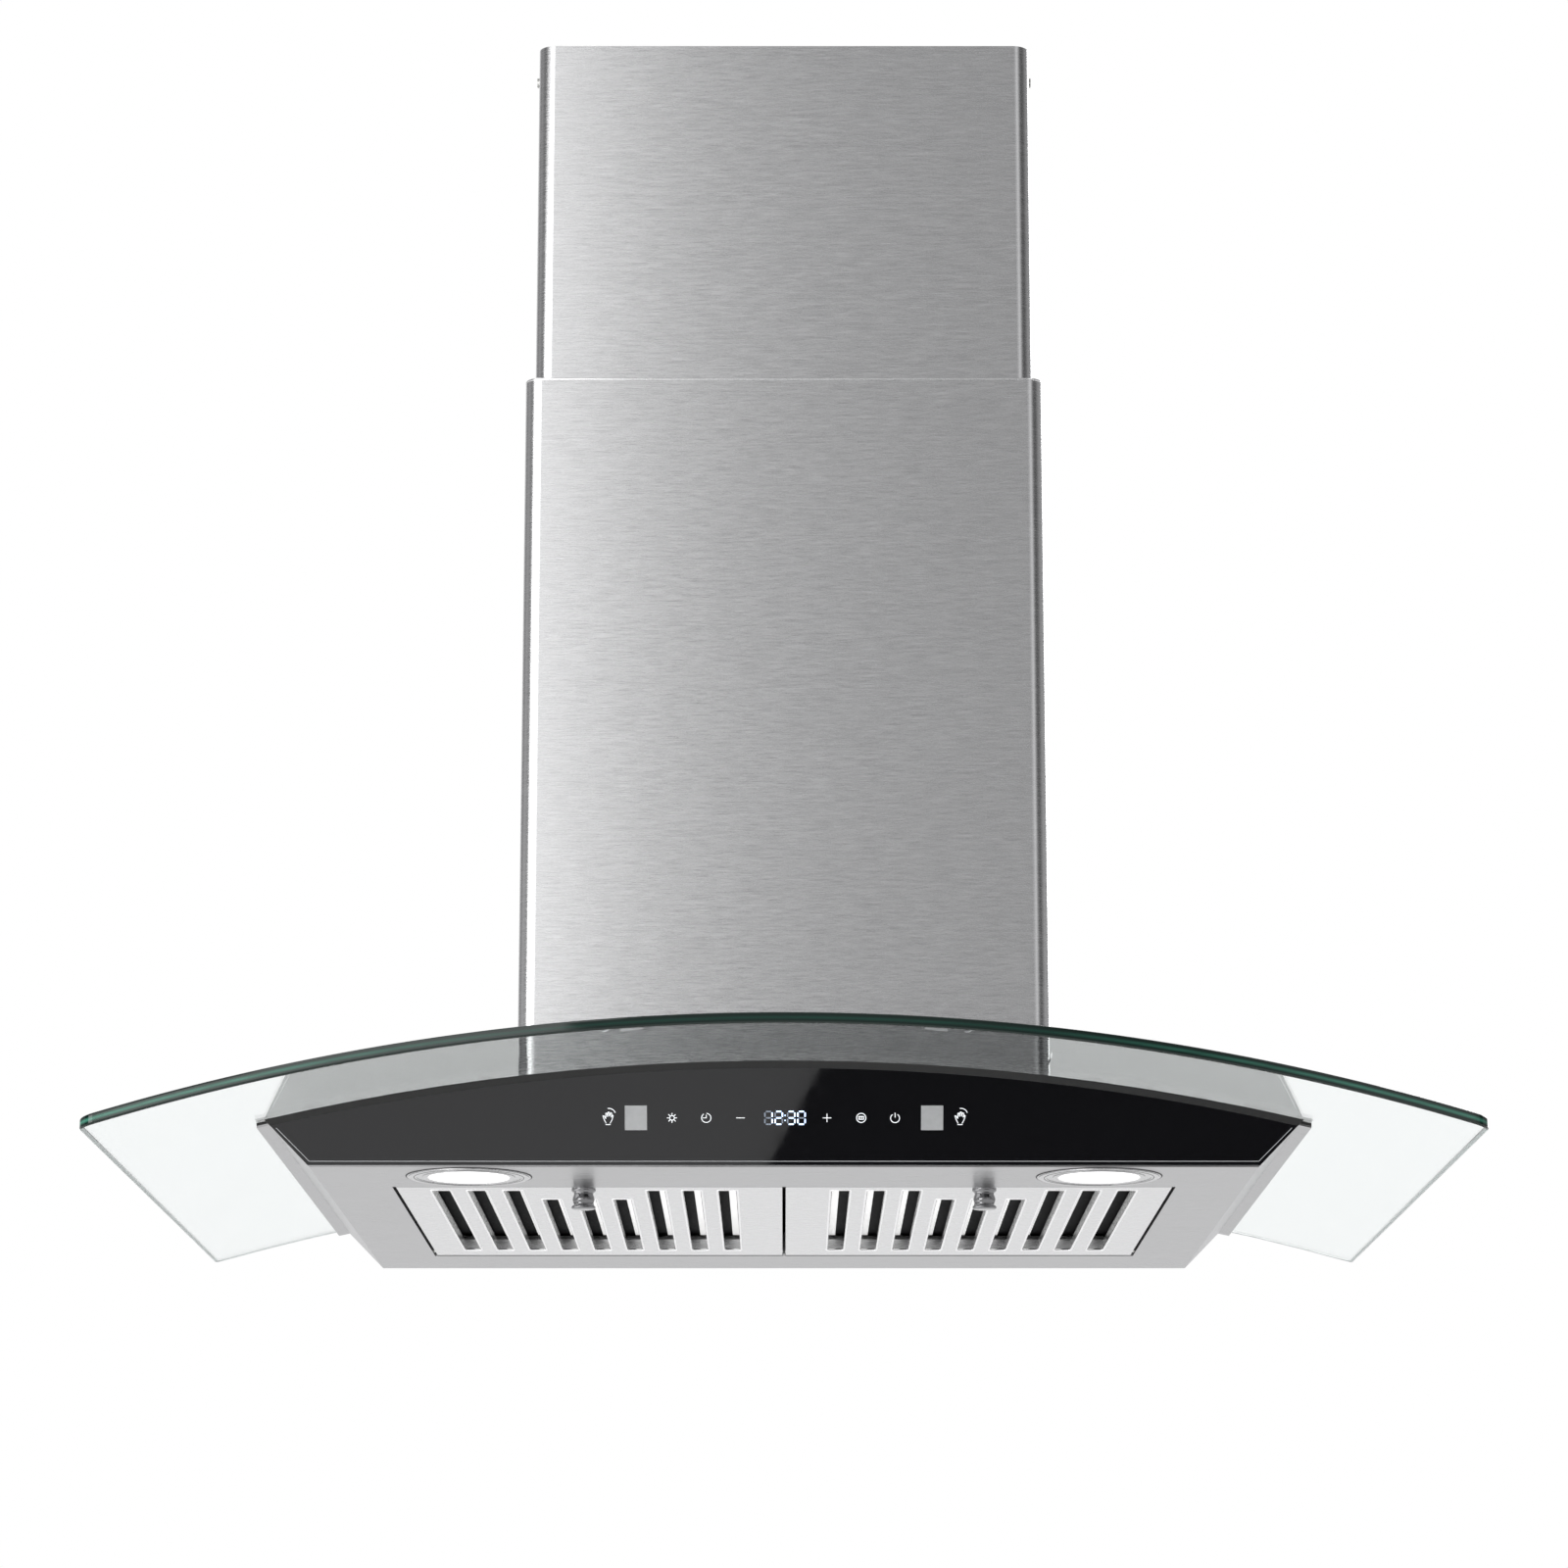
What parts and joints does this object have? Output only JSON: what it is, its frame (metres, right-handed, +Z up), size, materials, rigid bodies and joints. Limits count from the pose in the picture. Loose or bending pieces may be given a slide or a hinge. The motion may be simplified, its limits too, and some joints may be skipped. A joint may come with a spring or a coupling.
{
  "type": "island range hood",
  "caption": "Ceiling-hung island range hood with an arched glass canopy, slim steel body, black touch panel, slotted baffle filters and a telescopic chimney.",
  "frame": {"origin": "middle of the upper face of the ceiling plate, on the axis of the chimney and duct", "axes": "+X to the right, -Y towards the control panel, +Z up"},
  "size_m": [0.75, 0.6, 0.7145],
  "materials": {
    "brushed_steel_cover": "horizontal fine brushed grain",
    "brushed_steel_body": "fine brushed grain, soft mirror",
    "filter_steel": "satin, folded sheet",
    "zinc_sheet": "zinc coated sheet with faint spangle",
    "screws": "bright zinc plated",
    "chrome_knob": "polished",
    "clear_glass": "clear with dark green edges",
    "black_glass": "gloss black glass with a thin printed line",
    "clock_display": "dark window with lit digits",
    "sensor_window": "smoked grey window",
    "black_rubber": "matt",
    "black_plastic": "fine moulded texture",
    "white_plastic": "fine moulded texture",
    "circuit_board": "lacquered board",
    "lamp_trim": "turned satin rings",
    "lamp_lens": "opal diffuser",
    "cast_aluminium": "cast, with fins",
    "aluminium_sheet": "mill finish",
    "motor_case": "grey enamel"
  },
  "bodies": {
    "ceiling_frame": {"ceiling_plate": "zinc_sheet", "upper_frame": "zinc_sheet", "upper_chimney": "brushed_steel_cover", "chimney_screws": "screws"},
    "hood": {"lower_frame": "zinc_sheet", "frame_bolts": "screws", "lower_chimney": "brushed_steel_cover", "foot_pads": "black_rubber", "glass_canopy": "clear_glass", "glass_seal": "black_rubber", "glass_bolts": "screws", "glass_nuts": "screws", "body_tray": "brushed_steel_body", "top_plate": "brushed_steel_body", "control_panel": "black_glass", "display_window": "clock_display", "sensor_windows": "sensor_window", "touch_board": "circuit_board", "touch_housing": "black_plastic", "power_module": "black_plastic", "lamp_driver": "white_plastic", "left_lamp_ring": "lamp_trim", "left_lamp_lens": "lamp_lens", "left_lamp_housing": "cast_aluminium", "right_lamp_ring": "lamp_trim", "right_lamp_lens": "lamp_lens", "right_lamp_housing": "cast_aluminium", "air_box": "zinc_sheet", "scroll_casing": "zinc_sheet", "outlet_duct": "black_plastic", "duct_collar": "black_plastic", "flap_seat": "black_plastic", "collar_screws": "screws", "damper_rod": "screws", "motor": "motor_case", "motor_bracket": "zinc_sheet", "motor_bushes": "black_rubber", "run_capacitor": "white_plastic", "cable_gland": "black_plastic", "filter_rod": "screws", "rod_bracket": "zinc_sheet"},
    "impeller": {"motor_shaft": "screws", "impeller_wheel": "zinc_sheet"},
    "front_damper": {"front_flap": "aluminium_sheet"},
    "rear_damper": {"rear_flap": "aluminium_sheet"},
    "left_filter": {"left_filter_frame": "filter_steel", "left_filter_baffles": "filter_steel"},
    "right_filter": {"right_filter_frame": "filter_steel", "right_filter_baffles": "filter_steel"},
    "left_catch": {"left_knob": "chrome_knob", "left_latch": "zinc_sheet", "left_latch_spring": "screws"},
    "right_catch": {"right_knob": "chrome_knob", "right_latch": "zinc_sheet", "right_latch_spring": "screws"}
  },
  "joints": [
    {"name": "height_slide", "type": "slide", "parent": "ceiling_frame", "child": "hood", "axis": [0, 0, 1], "range_m": [-0.14, 0.2]},
    {"name": "impeller_spin", "type": "hinge", "parent": "hood", "child": "impeller", "pos_m": [0, -0.0063, -0.5417], "axis": [1, 0, 0], "continuous": true},
    {"name": "front_damper_hinge", "type": "hinge", "parent": "hood", "child": "front_damper", "pos_m": [0, 0, -0.4133], "axis": [-1, 0, 0], "range_deg": [0, 75]},
    {"name": "rear_damper_hinge", "type": "hinge", "parent": "hood", "child": "rear_damper", "pos_m": [0, 0, -0.4133], "axis": [1, 0, 0], "range_deg": [0, 75]},
    {"name": "left_filter_hinge", "type": "hinge", "parent": "hood", "child": "left_filter", "pos_m": [0, 0.158, -0.7], "axis": [1, 0, 0], "range_deg": [0, 75]},
    {"name": "left_latch_slide", "type": "slide", "parent": "left_filter", "child": "left_catch", "axis": [0, 1, 0], "range_m": [0, 0.006], "stiffness_N_per_m": 400, "springref_m": -0.008, "deforming": ["left_latch_spring"]},
    {"name": "right_filter_hinge", "type": "hinge", "parent": "hood", "child": "right_filter", "pos_m": [0, 0.158, -0.7], "axis": [1, 0, 0], "range_deg": [0, 75]},
    {"name": "right_latch_slide", "type": "slide", "parent": "right_filter", "child": "right_catch", "axis": [0, 1, 0], "range_m": [0, 0.006], "stiffness_N_per_m": 400, "springref_m": -0.008, "deforming": ["right_latch_spring"]}
  ]
}
